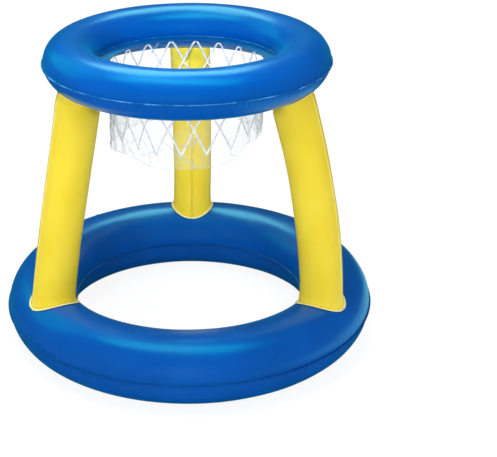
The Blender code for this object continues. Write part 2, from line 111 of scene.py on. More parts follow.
# Calendered PVC sheet, pigmented right through and rolled glossy: it reads as a deep even colour
# with broad soft reflections, a faint orange peel from the rolls, and ribbed welds in a shade of
# their own. Cut edges and weld roots are painted a lighter colour, a painted highlight.
def calenderedPvc(name, spec):
    material, tree, shader = startMaterial(name)
    setShader(shader, {
        "Roughness": spec["roughness"], "IOR": spec["ior"],
        "Specular IOR Level": spec["specular"], "Specular Tint": toLinear(spec["tint"]),
        "Sheen Weight": spec["bloom"], "Sheen Roughness": spec["bloomRoughness"],
        "Sheen Tint": toLinear(spec["bloomTint"]),
    })
    place = addNode(tree, "ShaderNodeTexCoord")
    cloud = addNode(tree, "ShaderNodeTexNoise",
                    {"Scale": 1 / spec["cloudSize"], "Detail": 2.0, "Roughness": 0.45},
                    {"Vector": place.outputs["Object"]})
    ramp = addNode(tree, "ShaderNodeMapRange",
                   {"From Min": spec["cloudFrom"], "From Max": spec["cloudTo"]},
                   {"Value": cloud.outputs["Fac"]})
    body = addNode(tree, "ShaderNodeMix",
                   {"data_type": "RGBA", 6: toLinear(spec["deep"]), 7: toLinear(spec["body"])},
                   {0: ramp.outputs["Result"]})
    weld = addNode(tree, "ShaderNodeAttribute", {"attribute_name": "weld"})
    welded = addNode(tree, "ShaderNodeMix", {"data_type": "RGBA", 7: toLinear(spec["weld"])},
                     {0: weld.outputs["Fac"], 6: body.outputs[2]})
    # painted highlight: cut edges and weld roots are mixed towards the light edge colour
    cut = addNode(tree, "ShaderNodeAttribute", {"attribute_name": "paintedEdgeGlint"})
    glinted = addNode(tree, "ShaderNodeMix", {"data_type": "RGBA", 7: toLinear(spec["edge"])},
                    {0: cut.outputs["Fac"], 6: welded.outputs[2]})
    tree.links.new(glinted.outputs[2], shader.inputs["Base Color"])
    # ribs of the welding tool, which run across the seam
    spot = addNode(tree, "ShaderNodeSeparateXYZ", None, {"Vector": place.outputs["Object"]})
    turn = addNode(tree, "ShaderNodeMath", {"operation": "ARCTAN2"},
                   {0: spot.outputs["Y"], 1: spot.outputs["X"]})
    phase = addNode(tree, "ShaderNodeMath", {"operation": "MULTIPLY", 1: spec["ribCount"]},
                    {0: turn.outputs[0]})
    rib = addNode(tree, "ShaderNodeMath", {"operation": "SINE"}, {0: phase.outputs[0]})
    ribHeight = addNode(tree, "ShaderNodeMath", {"operation": "MULTIPLY"},
                        {0: rib.outputs[0], 1: weld.outputs["Fac"]})
    peel = addNode(tree, "ShaderNodeTexNoise",
                   {"Scale": 1 / spec["peelSize"], "Detail": 1.0, "Roughness": 0.5},
                   {"Vector": place.outputs["Object"]})
    peelBump = addNode(tree, "ShaderNodeBump", {"Strength": spec["peel"], "Distance": spec["relief"]},
                       {"Height": peel.outputs["Fac"]})
    ribBump = addNode(tree, "ShaderNodeBump", {"Strength": spec["ribs"], "Distance": spec["relief"]},
                      {"Height": ribHeight.outputs[0], "Normal": peelBump.outputs["Normal"]})
    tree.links.new(ribBump.outputs["Normal"], shader.inputs["Normal"])
    return material


rolledSheet = {              # what every colour of the sheet has in common
    "ior": 1.54,
    "cloudFrom": 0.35, "cloudTo": 0.65,  # part of the noise that shows as clouds of pigment
    "peelSize": 0.004,       # orange peel is nearer 1 mm, drawn coarser so that it shows
    "peel": 0.10, "ribs": 0.35,          # how strongly the peel and the ribs show
    "relief": 0.0002,        # metres that both stand out by
}
bluePvc = {
    **rolledSheet,
    # edge: painted highlight colour on cut edges and weld roots
    "body": "#0056B2", "deep": "#004FA8", "weld": "#003284", "edge": "#6FBAF4", "tint": "#98FFFF",
    "roughness": 0.28, "specular": 0.5,
    "bloom": 0.22, "bloomRoughness": 0.4, "bloomTint": "#00D8E0",
    "cloudSize": 0.09,       # metres between clouds of pigment
    "ribCount": 900.0,       # ribs round a ring, about 2 mm apart; real ones are half that
}
hoopPvc = calenderedPvc("calenderedPvcBlueHoop", {**bluePvc, "tint": "#70FFD8"})
# the base ring takes a slightly darker copy of the same blue
basePvc = calenderedPvc("calenderedPvcBlueBase", {**bluePvc, "body": "#0050A8", "deep": "#004A9E"})
yellowPvc = calenderedPvc("calenderedPvcYellow", {
    **rolledSheet,
    # edge: painted highlight on the lips' free edges; weld: paler, partly pressed thinner sheet and
    # partly painted light through and off it
    "body": "#EFD83E", "deep": "#EAD133", "weld": "#F8EE8C", "edge": "#FBF6C0", "tint": "#FFE9A0",
    "roughness": 0.42, "specular": 0.3,
    "bloom": 0.0, "bloomRoughness": 0.5, "bloomTint": "#FFFFFF",
    "cloudSize": 0.05, "ribCount": 520.0,
})


# Clear PVC film, cast thin and left crumpled by packing: nearly invisible face on, milky where it
# turns away from the eye and, by handling, towards its hem; along the sharp creases a painted glint
# gives it more cover and a greyer tone.
def castClearFilm(name, spec):
    material, tree, shader = startMaterial(name)
    setShader(shader, {"Roughness": spec["roughness"], "IOR": spec["ior"],
                       "Specular IOR Level": spec["specular"]})
    place = addNode(tree, "ShaderNodeTexCoord")
    edge = addNode(tree, "ShaderNodeLayerWeight", {"Blend": spec["edgeBlend"]})
    haze = addNode(tree, "ShaderNodeTexNoise",
                   {"Scale": 1 / spec["hazeSize"], "Detail": 3.0, "Roughness": 0.6},
                   {"Vector": place.outputs["Object"]})
    cloud = addNode(tree, "ShaderNodeMapRange",
                    {"From Min": spec["hazeFrom"], "From Max": spec["hazeTo"],
                     "To Min": spec["clear"], "To Max": spec["milky"]},
                    {"Value": haze.outputs["Fac"]})
    handled = addNode(tree, "ShaderNodeAttribute", {"attribute_name": "handled"})
    hazed = addNode(tree, "ShaderNodeMath", {"operation": "MULTIPLY"},
                    {0: cloud.outputs["Result"], 1: handled.outputs["Fac"]})
    # painted glint along the creases: more cover and a greyer tone where a fold would reflect
    creaseGlint = addNode(tree, "ShaderNodeAttribute", {"attribute_name": "creaseGlint"})
    lined = addNode(tree, "ShaderNodeMath", {"operation": "MULTIPLY_ADD", 1: spec["creaseGlintCover"]},
                    {0: creaseGlint.outputs["Fac"], 2: hazed.outputs[0]})
    rim = addNode(tree, "ShaderNodeMath",
                  {"operation": "MULTIPLY_ADD", 1: spec["edgeAlpha"], "use_clamp": True},
                  {0: edge.outputs["Facing"], 2: lined.outputs[0]})
    tree.links.new(rim.outputs[0], shader.inputs["Alpha"])
    tone = addNode(tree, "ShaderNodeMix",
                   {"data_type": "RGBA", 6: toLinear(spec["body"]), 7: toLinear(spec["creaseGlintTone"])},
                   {0: creaseGlint.outputs["Fac"]})
    tree.links.new(tone.outputs[2], shader.inputs["Base Color"])
    return material


clearFilm = castClearFilm("castClearPvcFilm", {
    "body": "#C8DEE6", "creaseGlintTone": "#94B0C2", "roughness": 0.07, "ior": 1.54, "specular": 1.0,
    "edgeAlpha": 0.16, "edgeBlend": 0.30, "creaseGlintCover": 0.36,
    "clear": 0.034, "milky": 0.090,      # cover of the film between and in its patches of haze
    "hazeFrom": 0.4, "hazeTo": 0.7,      # part of the noise that shows as haze
    "hazeSize": 0.02,                    # size of the patches, in metres
})


# Screen-printed vinyl ink: a thin matt white layer with slightly starved patches.
def screenInk(name, spec):
    material, tree, shader = startMaterial(name)
    setShader(shader, {"Roughness": spec["roughness"], "IOR": spec["ior"],
                       "Subsurface Weight": spec["through"], "Subsurface Scale": spec["depth"],
                       "Subsurface Radius": (1.0, 1.0, 1.0)})
    place = addNode(tree, "ShaderNodeTexCoord")
    starve = addNode(tree, "ShaderNodeTexNoise", {"Scale": 1 / spec["patchSize"], "Detail": 2.0},
                     {"Vector": place.outputs["Object"]})
    tone = addNode(tree, "ShaderNodeMix",
                   {"data_type": "RGBA", 6: toLinear(spec["thin"]), 7: toLinear(spec["full"])},
                   {0: starve.outputs["Fac"]})
    tree.links.new(tone.outputs[2], shader.inputs["Base Color"])
    cover = addNode(tree, "ShaderNodeMapRange",
                    {"From Min": spec["patchFrom"], "From Max": spec["patchTo"],
                     "To Min": spec["thinAlpha"], "To Max": 1.0},
                    {"Value": starve.outputs["Fac"]})
    tree.links.new(cover.outputs["Result"], shader.inputs["Alpha"])
    return material


whiteInk = screenInk("screenPrintedWhiteInk", {
    "full": "#EEF1F6", "thin": "#DEE4EC", "thinAlpha": 0.85, "roughness": 0.55, "ior": 1.5,
    "through": 0.8,          # share of the light that passes the thin ink
    "depth": 0.001,
    "patchSize": 0.006,
    "patchFrom": 0.35, "patchTo": 0.55,  # part of the noise that shows as starved patches
})


# Injection-moulded soft vinyl, unpigmented: milky, waxy and half clear.
def mouldedVinyl(name, spec):
    material, tree, shader = startMaterial(name)
    setShader(shader, {"Roughness": spec["roughness"], "IOR": spec["ior"],
                       "Subsurface Weight": spec["waxy"], "Subsurface Scale": spec["depth"],
                       "Subsurface Radius": (1.0, 1.0, 1.0)})
    place = addNode(tree, "ShaderNodeTexCoord")
    flow = addNode(tree, "ShaderNodeTexNoise", {"Scale": 1 / spec["flowSize"], "Detail": 2.0},
                   {"Vector": place.outputs["Object"]})
    tone = addNode(tree, "ShaderNodeMix",
                   {"data_type": "RGBA", 6: toLinear(spec["cool"]), 7: toLinear(spec["body"])},
                   {0: flow.outputs["Fac"]})
    tree.links.new(tone.outputs[2], shader.inputs["Base Color"])
    grain = addNode(tree, "ShaderNodeBump", {"Strength": spec["grain"], "Distance": spec["relief"]},
                    {"Height": flow.outputs["Fac"]})
    tree.links.new(grain.outputs["Normal"], shader.inputs["Normal"])
    return material


valveVinyl = mouldedVinyl("mouldedSoftVinyl", {
    "body": "#E9F0F4", "cool": "#D3E0E8", "roughness": 0.32, "ior": 1.53,
    "waxy": 0.35, "depth": 0.002,        # how much light goes in, and how deep
    "flowSize": 0.003,                   # flow marks of the mould
    "grain": 0.15, "relief": 0.0001,     # how strongly they show, and the metres they stand out by
})
print("materials made")


# shared form of the two inflated rings, in metres
rings = {
    "base": {"radius": 0.249, "halfWidth": 0.0561, "halfHeight": 0.0569, "level": 0.0564},
    "hoop": {"radius": 0.187, "halfWidth": 0.0399, "halfHeight": 0.0373, "level": 0.473},
}
film = {"sheet": 0.00025, "gap": 0.0003, "fin": 0.0025}     # thickness, space between, weld width
baseSeam = rings["base"]["level"]    # both welds of the base
hoopSeam = 0.4705                    # outer weld of the hoop
flangeLevel = 0.464                  # inner weld of the hoop, where the skirt hangs
netTopRadius = 0.1235                # edge of the hoop's flange, where the film turns down


def sectionPoint(ring, rise, lift=0.0):
    return (ring["radius"] + (ring["halfWidth"] + lift) * math.cos(rise),
            ring["level"] + (ring["halfHeight"] + lift) * math.sin(rise))


def sectionNormal(ring, rise):
    across, upward = math.cos(rise) / ring["halfWidth"], math.sin(rise) / ring["halfHeight"]
    return Vector((across, upward)).normalized()


def ease(value):
    value = min(max(value, 0.0), 1.0)
    return value * value * (3 - 2 * value)


def crowdEnds(step, steps, crowding):
    # share of the way at one step, where steps lie closer together near both ends
    share = 0.5 - 0.5 * math.cos(math.pi * step / steps)
    return crowding * share + (1 - crowding) * step / steps


def sineSum(angle, waves):
    return sum(size * math.sin(count * angle + phase) for count, phase, size in waves)


def gridMesh(name, rows, marks, wrap, outward, material, thickness, offset=-1.0):
    # rows of points become one sheet, and Solidify gives it the thickness of the real film
    width = len(rows[0])
    last = width if wrap else width - 1
    faces = [(i * width + j, i * width + (j + 1) % width,
              (i + 1) * width + (j + 1) % width, (i + 1) * width + j)
             for i in range(len(rows) - 1) for j in range(last)]
    mesh = bpy.data.meshes.new(name)
    mesh.from_pydata([point for row in rows for point in row], [], faces)
    middle = mesh.polygons[len(faces) // 2]
    if middle.normal.dot(outward(middle.center)) < 0:
        mesh.flip_normals()
    for mark, values in marks.items():
        layer = mesh.attributes.new(mark, "FLOAT", "POINT")
        layer.data.foreach_set("value", [value for row in values for value in row])
    return meshObject(mesh, material, "filmThickness", thickness, offset)


def meshObject(mesh, material, label, thickness, offset):
    mesh.materials.append(material)
    mesh.shade_smooth()
    obj = bpy.data.objects.new(mesh.name, mesh)
    bpy.context.collection.objects.link(obj)
    solidify = obj.modifiers.new(label, "SOLIDIFY")
    solidify.thickness = thickness
    solidify.offset = offset
    return obj


# rings: each half is one welded sheet, from the tip of its outer weld to the tip of its inner one
ringSkin = {
    "turns": 720, "sectionSteps": 44, "finSteps": 2,
    "crowding": 0.5,                     # stations lie closer together near the welds
    "flangeStep": 0.0015,                # metres between stations on the flange
    "puckerReach": 0.011,                # metres from the outer weld in which it gathers
    "waveTaper": 0.012,                  # metres from each weld in which the waves die away
    "finRipple": 0.4,                    # share of the gathers that reaches the outer weld
    "rootWeld": 0.6,                     # how much of the weld's shade shows where the tube starts
    # each ring: its gathers and waves, the painted light lines on its outer edge and at its inner weld,
    # and how much of the weld's shade the outer fin has; the hoop's fin keeps less, so it is painted
    # lighter as if it caught the light
    "base": {"pucker": 0.00022, "wave": 0.00010, "paintedEdgeGlint": 0.0, "paintedRootGlint": 0.0, "finShade": 1.0,
             "gathers": ((151, 0.3, 1.0), (97, 1.9, 0.8), (205, 4.1, 0.5)),
             "ripples": ((5, 0.4, 95.0, 1.0), (9, 2.0, 210.0, 0.7), (14, 4.4, 150.0, 0.5))},
    "hoop": {"pucker": 0.00022, "wave": 0.00011, "paintedEdgeGlint": 0.78, "paintedRootGlint": 0.55, "finShade": 0.3,
             "gathers": ((139, 0.8, 1.0), (88, 2.7, 0.8), (187, 5.0, 0.5)),
             "ripples": ((4, 1.1, 130.0, 1.0), (7, 3.2, 290.0, 0.7), (11, 5.4, 205.0, 0.5))},
}
seamGlint = {
    "mean": 0.36, "swing": 1.3, "least": 0.10,
    "long": 0.09, "short": 0.31, "shortShare": 0.6,      # pace of the dashes along the columns
    "longAt": (3.1, 0.0), "shortAt": (0.4, 7.0),         # where the noise is read
}
# middles of the valves' sleeves where they pass through the film, and the hole that is cut there
valveSeats = {"base": (-0.179211, 0.233552, 0.089845), "hoop": (-0.136279, 0.177602, 0.487274)}
valveHole = {"cut": 0.0085, "edge": 0.0080, "reach": 0.0136}


def ringStations(ring, side, outerSeam, innerSeam, innerTip):
    # one station of the section: radius, level, normal, way from each weld, and how far it is weld
    finSteps, steps = ringSkin["finSteps"], ringSkin["sectionSteps"]
    outerLevel = outerSeam + side * (film["gap"] / 2 + film["sheet"])
    innerLevel = innerSeam + side * (film["gap"] / 2 + film["sheet"])
    start = math.asin((outerLevel - ring["level"]) / ring["halfHeight"])
    stop = side * math.pi - math.asin((innerLevel - ring["level"]) / ring["halfHeight"])
    length = abs(stop - start) * ring["halfWidth"]
    up = Vector((0.0, side))
    stations = []
    outerTip = ring["radius"] + ring["halfWidth"] + film["fin"]
    outerRoot = sectionPoint(ring, start)[0]
    for k in range(finSteps):
        radius = outerTip + (outerRoot - outerTip) * k / finSteps
        stations.append((radius, outerLevel, up, 0.0, length, 1.0))
    for k in range(steps + 1):
        share = crowdEnds(k, steps, ringSkin["crowding"])
        rise = start + (stop - start) * share
        radius, level = sectionPoint(ring, rise)
        way = share * length
        weld = ringSkin["rootWeld"] if k in (0, steps) else 0.0
        stations.append((radius, level, sectionNormal(ring, rise), way, length - way, weld))
    innerRoot = sectionPoint(ring, stop)[0]
    count = max(finSteps, round((innerRoot - innerTip) / ringSkin["flangeStep"]))
    for k in range(1, count + 1):
        radius = innerRoot + (innerTip - innerRoot) * k / count
        stations.append((radius, innerLevel, up, length, 0.0, 1.0))
    return stations


def brokenLine(column):
    # painted glint: the cut edge is painted lighter in dashes, where the rippled film would catch the
    # light
    long = noise.noise(Vector((column * seamGlint["long"], *seamGlint["longAt"])))
    short = noise.noise(Vector((column * seamGlint["short"], *seamGlint["shortAt"])))
    dash = long + seamGlint["shortShare"] * short
    return min(1.0, max(seamGlint["least"], seamGlint["mean"] + seamGlint["swing"] * dash))


def ringHalf(name, key, side, outerSeam, innerSeam, innerTip, nodes, hole=None):
    ring, spec = rings[key], ringSkin[key]
    stations = ringStations(ring, side, outerSeam, innerSeam, innerTip)
    rows, weld, cut = [], [], []
    taper = ringSkin["waveTaper"]
    for radius, level, normal, outerWay, innerWay, welded in stations:
        row = []
        gather = math.exp(-(outerWay / ringSkin["puckerReach"]) ** 2)
        away = min(1.0, outerWay / taper) * min(1.0, innerWay / taper)
        for j in range(ringSkin["turns"]):
            angle = math.tau * j / ringSkin["turns"]
            lift = spec["pucker"] * sineSum(angle, spec["gathers"]) * gather
            if away:
                lift += spec["wave"] * away * sum(
                    size * math.sin(count * angle + phase + pitch * outerWay * side)
                    for count, phase, pitch, size in spec["ripples"])
            if welded == 1.0:
                lift *= side * (ringSkin["finRipple"] if outerWay == 0.0 else 0.0)
            x = radius + normal.x * lift
            z = level + (lift if welded == 1.0 else normal.y * lift)
            row.append((x * math.cos(angle), x * math.sin(angle), max(z, 0.0)))
        rows.append(row)
        weld.append([welded * (spec["finShade"] if outerWay == 0.0 else 1.0)] * len(row))
        # painted glint on the hoop's cut outer edge and at the root of its inner weld
        line = 0.0
        if welded == 1.0:
            line = spec["paintedEdgeGlint"] if outerWay == 0.0 else 0.0
        elif innerWay == 0.0:
            line = spec["paintedRootGlint"]
        cut.append([line * brokenLine(j) if line else 0.0 for j in range(len(row))])
    middle = Vector((ring["radius"], ring["level"]))

    def outward(centre):
        flat = Vector((math.hypot(centre.x, centre.y), centre.z)) - middle
        return Vector((centre.x, centre.y, 0.0)).normalized() * flat.x + Vector((0.0, 0.0, flat.y))

    obj = gridMesh(name, rows, {"weld": weld, "paintedEdgeGlint": cut}, True, outward,
                   hoopPvc if key == "hoop" else basePvc, film["sheet"])
    if hole:
        cutValveHole(obj, Vector(hole))
    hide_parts(*nodes)
    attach(obj, root)


def cutValveHole(obj, centre):
    # round hole for the valve's sleeve, hidden under the valve's flange
    bm = bmesh.new()
    bm.from_mesh(obj.data)
    gone = [f for f in bm.faces if (f.calc_center_median() - centre).length < valveHole["cut"]]
    bmesh.ops.delete(bm, geom=gone, context="FACES")
    for vert in bm.verts:
        away = vert.co - centre
        if vert.is_boundary and away.length < valveHole["reach"]:
            vert.co = centre + away.normalized() * valveHole["edge"]
    bm.to_mesh(obj.data)
    bm.free()


baseTip = rings["base"]["radius"] - rings["base"]["halfWidth"] - film["fin"]
flangeRise = math.pi - math.asin((flangeLevel - rings["hoop"]["level"]) / rings["hoop"]["halfHeight"])
hoopTip = sectionPoint(rings["hoop"], flangeRise)[0] - film["fin"]
ringHalf("baseRingUpperSkin", "base", 1, baseSeam, baseSeam, baseTip, ["base_ring_upper_panel"],
         valveSeats["base"])
ringHalf("baseRingLowerSkin", "base", -1, baseSeam, baseSeam, baseTip, ["base_ring_lower_panel"])
ringHalf("hoopRingUpperSkin", "hoop", 1, hoopSeam, flangeLevel, hoopTip, ["hoop_ring_upper_panel"],
         valveSeats["hoop"])
ringHalf("hoopRingLowerSkin", "hoop", -1, hoopSeam, flangeLevel, netTopRadius,
         ["hoop_ring_lower_panel"])
print("rings made")


# legs: round tubes that end in a saddle on each ring, welded along two lines and round both ends
leg = {
    "azimuths": {"back": 90.0, "left": 210.0, "right": 330.0},
    "radius": 0.034, "fin": 0.002,
    "bow": 0.0066,                       # how far the middle stands out from a straight line
    "seat": 0.0006,                      # space between the lips and the rings
    "turnSteps": 40, "rowSteps": 90, "lipSteps": 4, "headLipSteps": 2,
    "crowding": 0.6,                     # rows lie closer together near both ends
    "finFadeRows": 8,                    # rows over which a long weld's free edge dies away
    "footLip": 0.005, "headLip": 0.0025, "footBlend": 0.045, "headBlend": 0.024,
    "headSpan": 34.0, "headTilt": 15.0,
    "lipCurl": 0.0009,                   # the free edge of the lip stands up by this
    "lipFront": {"back": 0.0, "left": 1.0, "right": -1.0},
    "lipFrontReach": 0.0035,             # the lip is wider on the side towards the viewer
    "lipFrontTurn": 0.5,                 # radians past the leg's side at which it is widest
    # the lip's bright edge is a painted highlight
    "edgeFade": 0.6,                     # the lip's bright edge fades by this from row to row
    "rootWeld": 0.5,                     # how much of the weld's shade shows where the wall starts
    "flare": 0.0026, "flareReach": 0.006, "flareStart": 0.001,      # the wall runs out into its lip
    "headFlare": 0.0014, "headFlareReach": 0.011,
    "gather": 0.00035, "gatherReach": 0.013,       # small gathers beside the end welds
    "gathers": ((19, 0.4, 1.0), (31, 2.2, 0.7), (13, 4.0, 0.6)),
    "wave": 0.00028, "waveTaper": 0.03,            # slow waves of the wall, which calm at both ends
    "waves": ((2, 34.0, 1.0, 1.0), (3, -51.0, 2.0, 0.7)),
    "panelShift": 1.3,                   # sets the second panel's waves apart from the first's
    "slit": 0.00005,                     # opening of the long weld, which reads as one line
    "sway": {"back": 0.0015, "left": 0.0046, "right": 0.0048},      # the legs lean a little to +X
}
footLevel = rings["base"]["level"] + rings["base"]["halfHeight"]
headLevel = rings["hoop"]["level"] - rings["hoop"]["halfHeight"]


def legAxis(level):
    share = (level - footLevel) / (headLevel - footLevel)
    inward = rings["hoop"]["radius"] - rings["base"]["radius"]
    reach = rings["base"]["radius"] + inward * share + 4 * leg["bow"] * share * (1 - share)
    slope = (inward + 4 * leg["bow"] * (1 - 2 * share)) / (headLevel - footLevel)
    return reach, math.atan(-slope)


def legSway(key, level):
    share = min(1.0, max(0.0, (level - footLevel) / (headLevel - footLevel)))
    return Vector((leg["sway"][key] * 4 * share * (1 - share), 0.0, 0.0))


def legEnd(atHead, turn, extra, lift):
    # a point of the saddle, or of its lip where extra is more than nothing
    ring = rings["hoop"] if atHead else rings["base"]
    across = extra * math.cos(turn) / ring["halfWidth"]
    if atHead:
        spread = math.asin(math.sin(math.radians(leg["headSpan"])) * math.cos(turn))
        rise = math.radians(leg["headTilt"]) + spread + across - math.pi / 2
    else:
        rise = math.pi / 2 - math.asin(leg["radius"] / ring["halfWidth"] * math.cos(turn)) - across
    reach, level = sectionPoint(ring, rise, lift)
    swing = (leg["radius"] + extra) * math.sin(turn) / reach
    return Vector((reach * math.cos(swing), reach * math.sin(swing), level))


def roundWall(turn, radius, level):
    reach, lean = legAxis(level)
    out = radius * math.cos(turn)
    return Vector((reach + out * math.cos(lean), radius * math.sin(turn),
                   level + out * math.sin(lean)))


def axisLevel(turn, radius, height):
    # level of the axis from which the wall reaches this height, found in a few rounds
    level = height
    for _ in range(4):
        level = height - radius * math.cos(turn) * math.sin(legAxis(level)[1])
    return level


def legLine(turn, seed, front):
    # one line along the leg, from the lip at its foot to the lip at its head
    radius = leg["radius"]
    lift = leg["seat"] + film["sheet"]
    foot, head = legEnd(False, turn, 0.0, lift), legEnd(True, turn, 0.0, lift)
    low, high = axisLevel(turn, radius, foot.z), axisLevel(turn, radius, head.z)
    footShift = foot - roundWall(turn, radius, low)
    headShift = head - roundWall(turn, radius, high)
    points, weld, cut = [], [], []
    facing = max(0.0, front * math.sin(turn - leg["lipFrontTurn"] * front))
    lip = leg["footLip"] + leg["lipFrontReach"] * facing ** 2
    # the lip's free edge is painted lighter, a painted highlight that fades inwards
    for k in range(leg["lipSteps"]):
        out = 1 - k / leg["lipSteps"]
        points.append(legEnd(False, turn, lip * out, lift + leg["lipCurl"] * out ** 3))
        weld.append(1.0)
        cut.append(max(0.0, 1 - k * leg["edgeFade"]))
    for k in range(leg["rowSteps"] + 1):
        level = low + (high - low) * crowdEnds(k, leg["rowSteps"], leg["crowding"])
        fromFoot, fromHead = level - low, high - level
        shift = footShift * (1 - ease(fromFoot / leg["footBlend"]))
        shift += headShift * (1 - ease(fromHead / leg["headBlend"]))
        near = math.exp(-(min(fromFoot, fromHead) / leg["gatherReach"]) ** 2)
        swell = leg["gather"] * near * sineSum(turn + seed, leg["gathers"])
        rising = min(1.0, fromFoot / leg["flareStart"])
        swell += leg["flare"] * math.exp(-fromFoot / leg["flareReach"]) * rising
        reach = fromHead / leg["headFlareReach"]
        swell += leg["headFlare"] * reach * math.exp(1 - reach) * (0.5 + 0.5 * math.cos(turn)) ** 2
        calm = ease(fromFoot / leg["waveTaper"]) * ease(fromHead / leg["waveTaper"])
        swell += leg["wave"] * calm * sum(
            size * math.sin(count * turn + pitch * level + drift * seed)
            for count, pitch, drift, size in leg["waves"])
        points.append(roundWall(turn, radius + swell, level) + shift)
        weld.append(leg["rootWeld"] if k in (0, leg["rowSteps"]) else 0.0)
        cut.append(0.0)
    # the head lip is painted lighter towards its edge, a painted highlight
    for k in range(1, leg["headLipSteps"] + 1):
        points.append(legEnd(True, turn, leg["headLip"] * k / leg["headLipSteps"], lift))
        weld.append(1.0)
        cut.append(k / leg["headLipSteps"])
    return points, weld, cut


def legFin(line, direction):
    # free edge of the long weld, which dies away at both ends of the leg
    tip = []
    last = len(line) - 1 - leg["headLipSteps"]
    for i, point in enumerate(line):
        lean = legAxis(point.z)[1]
        near = min(i - leg["lipSteps"], last - i)
        width = film["sheet"] + (leg["fin"] - film["sheet"]) * ease(near / leg["finFadeRows"])
        tip.append(point + direction * width * Vector((math.cos(lean), 0.0, math.sin(lean))))
    return tip


def legHalf(key, side, node):
    azimuth = math.radians(leg["azimuths"][key])
    seed = azimuth + (0.0 if side > 0 else leg["panelShift"])
    place = Matrix.Rotation(azimuth, 3, "Z") @ Matrix.Diagonal((1.0, side, 1.0))
    first = math.asin((leg["slit"] / 2 + film["sheet"]) / leg["radius"])
    steps = leg["turnSteps"]
    lines, welds, cuts = [], [], []
    for k in range(steps + 1):
        turn = first + (math.pi - 2 * first) * k / steps
        line, weld, cut = legLine(turn, seed, leg["lipFront"][key] * side)
        lines.append(line)
        welds.append(weld)
        cuts.append(cut)
    lines = [legFin(lines[0], 1.0)] + lines + [legFin(lines[-1], -1.0)]
    welds = [[1.0] * len(welds[0])] + welds + [[1.0] * len(welds[0])]
    cuts = [cuts[0]] + cuts + [cuts[-1]]
    levels = range(len(lines[0]))
    rows = [[place @ line[i] + legSway(key, line[i].z) for line in lines] for i in levels]
    marks = {"weld": [[column[i] for column in welds] for i in levels],
             "paintedEdgeGlint": [[column[i] for column in cuts] for i in levels]}

    def outward(centre):
        reach, _ = legAxis(centre.z)
        return centre - place @ Vector((reach, 0.0, centre.z))

    obj = gridMesh(key + "Leg" + ("PanelA" if side > 0 else "PanelB"), rows, marks,
                   False, outward, yellowPvc, film["sheet"])
    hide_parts(node)
    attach(obj, root)


for key in leg["azimuths"]:
    legHalf(key, 1.0, key + "_leg_panel_a")
    legHalf(key, -1.0, key + "_leg_panel_b")
print("legs made")


# skirt of clear film, hung from the flange of the hoop; tables give azimuth, width and size
skirt = {
    "topRadius": netTopRadius, "hemRadius": 0.119, "band": 0.011, "length": 0.134,
    "top": flangeLevel - film["gap"] / 2 - film["sheet"] - film["gap"],
    "columns": 570, "rows": 72, "bandRows": 5,
    "foldDepth": 0.007, "hemLift": 0.036,
    "folds": ((-165.0, 15.0, 1.10), (-135.0, 9.0, -0.35), (-113.0, 10.0, 0.45), (-82.0, 11.0, -0.30),
              (-52.0, 9.0, 0.40), (-33.0, 8.0, -0.50), (-14.0, 10.0, -0.15), (10.0, 9.0, -0.40),
              (40.0, 14.0, 0.50), (80.0, 12.0, -0.30), (125.0, 15.0, 0.55), (163.0, 10.0, -0.30)),
    "hem": ((-33.0, 20.0, 0.62), (-8.0, 12.0, 0.70), (-152.0, 22.0, 0.24), (60.0, 30.0, 0.25)),
    "slip": ((-152.0, 28.0, 7.0),),                # degrees by which the hem has turned there
    "pleats": ((-172.0, 2.2, 1.0), (-164.0, 1.8, 0.8), (-154.0, 2.0, 0.7), (-38.0, 2.0, 0.6),
               (-27.0, 1.8, 0.9), (-16.0, 2.0, 0.8), (-4.0, 2.2, 1.0), (8.0, 2.4, 0.8),
               (176.0, 2.4, 0.8)),
    "growth": 1.5,                                 # power of the way down by which folds and slip grow
    "pleat": 0.0013, "pleatStart": 0.08,           # height of the upright pleats, and where they start
    "pleatLean": 5.0, "pleatBend": 5.0,            # degrees they wander, and how fast
    "crumple": 0.0010, "crumpleStart": 0.12,       # height of the packing creases, and their start
    "crumpleSize": 0.034, "crumpleSharp": 2.2,
    "fineScale": 2.3, "fineShare": 0.5, "fineShift": (7.1, 3.3, 1.9),      # a finer set of creases
    # how strongly the painted glint shows on the ridges, the packing fold, the pleats and the cut hem
    "ridgeGlint": 1.2, "foldGlint": 0.7, "pleatGlint": 0.7, "hemGlint": 0.5,
    # haze left by handling: how little there is by the hoop, and where on the way down it sets in
    "topHaze": 0.05, "hazeStart": 0.3, "hazeReach": 0.3,
    "flat": (0.80, 0.145),                         # cut size of the strip before it was joined
}


def turned(azimuth):
    # the same direction, between -180 and 180 degrees
    return (azimuth + 180.0) % 360.0 - 180.0


def swells(azimuth, table):
    total = 0.0
    for middle, width, height in table:
        total += height * math.exp(-(turned(azimuth - middle) / width) ** 2)
    return total


def crumple(spot):
    ridge = 1 - abs(noise.noise(spot / skirt["crumpleSize"])) * skirt["crumpleSharp"]
    finer = spot / skirt["crumpleSize"] * skirt["fineScale"] + Vector(skirt["fineShift"])
    fine = 1 - abs(noise.noise(finer)) * skirt["crumpleSharp"]
    return max(ridge, 0.0) ** 2 + skirt["fineShare"] * max(fine, 0.0) ** 2


packCrease = {
    "start": (-104.5, 0.372), "stop": (-81.0, 0.3285),     # degrees round, and level
    "height": 0.0016, "width": 0.0026, "overrun": 0.1, "fade": 0.15,
}


def creaseHeight(azimuth, level):
    # one straight fold left by packing, from the print to the hem
    scale = math.radians(skirt["hemRadius"])
    ax, az = packCrease["start"][0] * scale, packCrease["start"][1]
    bx, bz = packCrease["stop"][0] * scale, packCrease["stop"][1]
    px, pz = azimuth * scale, level
    dx, dz = bx - ax, bz - az
    over = packCrease["overrun"]
    along = ((px - ax) * dx + (pz - az) * dz) / (dx * dx + dz * dz)
    if not -over < along < 1 + over:
        return 0.0
    away = abs((px - ax) * dz - (pz - az) * dx) / math.hypot(dx, dz)
    ends = ease(min(along + over, 1 + over - along) / packCrease["fade"])
    return max(0.0, 1 - away / packCrease["width"]) * ends


